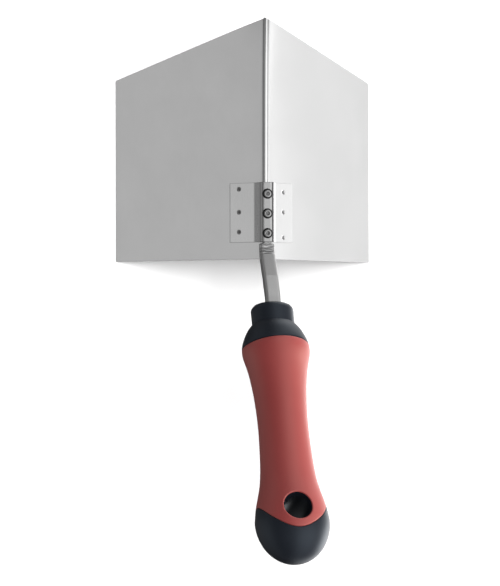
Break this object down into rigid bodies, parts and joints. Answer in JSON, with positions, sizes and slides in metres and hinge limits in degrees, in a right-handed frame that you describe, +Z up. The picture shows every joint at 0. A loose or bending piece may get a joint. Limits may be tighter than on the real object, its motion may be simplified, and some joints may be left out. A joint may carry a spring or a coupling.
{
  "type": "corner trowel",
  "caption": "Corner trowel: a steel sheet folded to a right angle with swept-back front edges, a riveted bent tang and a two-material handle with a hang hole.",
  "frame": {"origin": "middle of the footprint, on the plane that the free edges of the two wings stand on", "axes": "+Y along the ridge from the handle to the blade's pointed front, +Z up from the wing edges to the ridge, +X to the right wing"},
  "size_m": [0.1258, 0.2542, 0.1386],
  "materials": {
    "blade_steel": "satin polished stainless sheet",
    "bracket_steel": "satin stainless sheet",
    "tang_steel": "plain steel bar with forging marks",
    "rivet_metal": "smooth",
    "pin_steel": "broken end, dull",
    "black_plastic": "fine satin texture",
    "red_rubber": "satin soft-touch elastomer"
  },
  "bodies": {
    "root": {"blade": "blade_steel", "bracket": "bracket_steel", "tang": "tang_steel", "rivet_rear": "rivet_metal", "rivet_middle": "rivet_metal", "rivet_front": "rivet_metal", "rivet_pin_rear": "pin_steel", "rivet_pin_middle": "pin_steel", "rivet_pin_front": "pin_steel", "handle_core": "black_plastic", "grip_sleeve": "red_rubber"}
  },
  "joints": []
}
